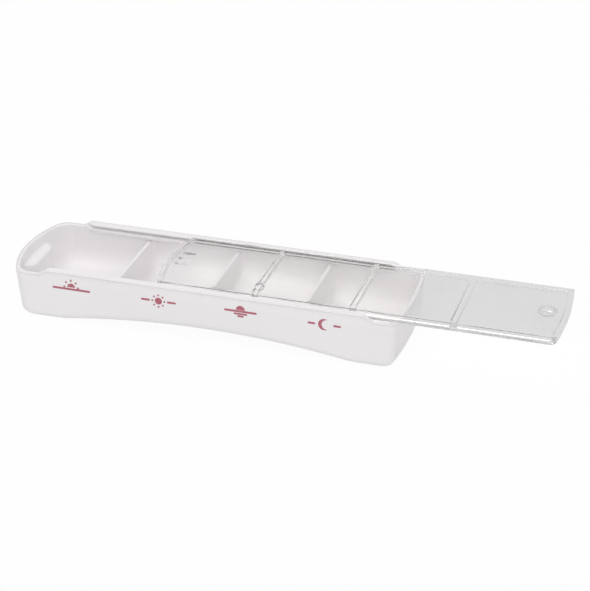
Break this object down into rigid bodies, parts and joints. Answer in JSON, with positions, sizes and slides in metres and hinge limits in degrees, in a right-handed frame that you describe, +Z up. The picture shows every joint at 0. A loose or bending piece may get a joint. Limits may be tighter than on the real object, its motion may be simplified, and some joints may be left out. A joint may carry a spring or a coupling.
{
  "type": "pill organizer",
  "caption": "Long low white box with a row of equal pill compartments, an arched underside, bowed ends and a clear ribbed lid that slides along it in two grooved rails.",
  "frame": {"origin": "middle of the footprint that the tray and the drawn-out lid cover at rest, at the height of the tray's two feet", "axes": "+X along the tray towards the end where the lid comes off, +Y from the marked front to the back, +Z up"},
  "size_m": [0.2002, 0.0434, 0.0201],
  "materials": {
    "white_plastic": "satin",
    "clear_plastic": "gloss",
    "rose_print": "matte"
  },
  "bodies": {
    "tray": {"tray": "white_plastic"},
    "lid": {"lid": "clear_plastic"}
  },
  "joints": [
    {"name": "lid_slide", "type": "slide", "parent": "tray", "child": "lid", "axis": [1, 0, 0], "range_m": [-0.05415, 0.052]}
  ]
}
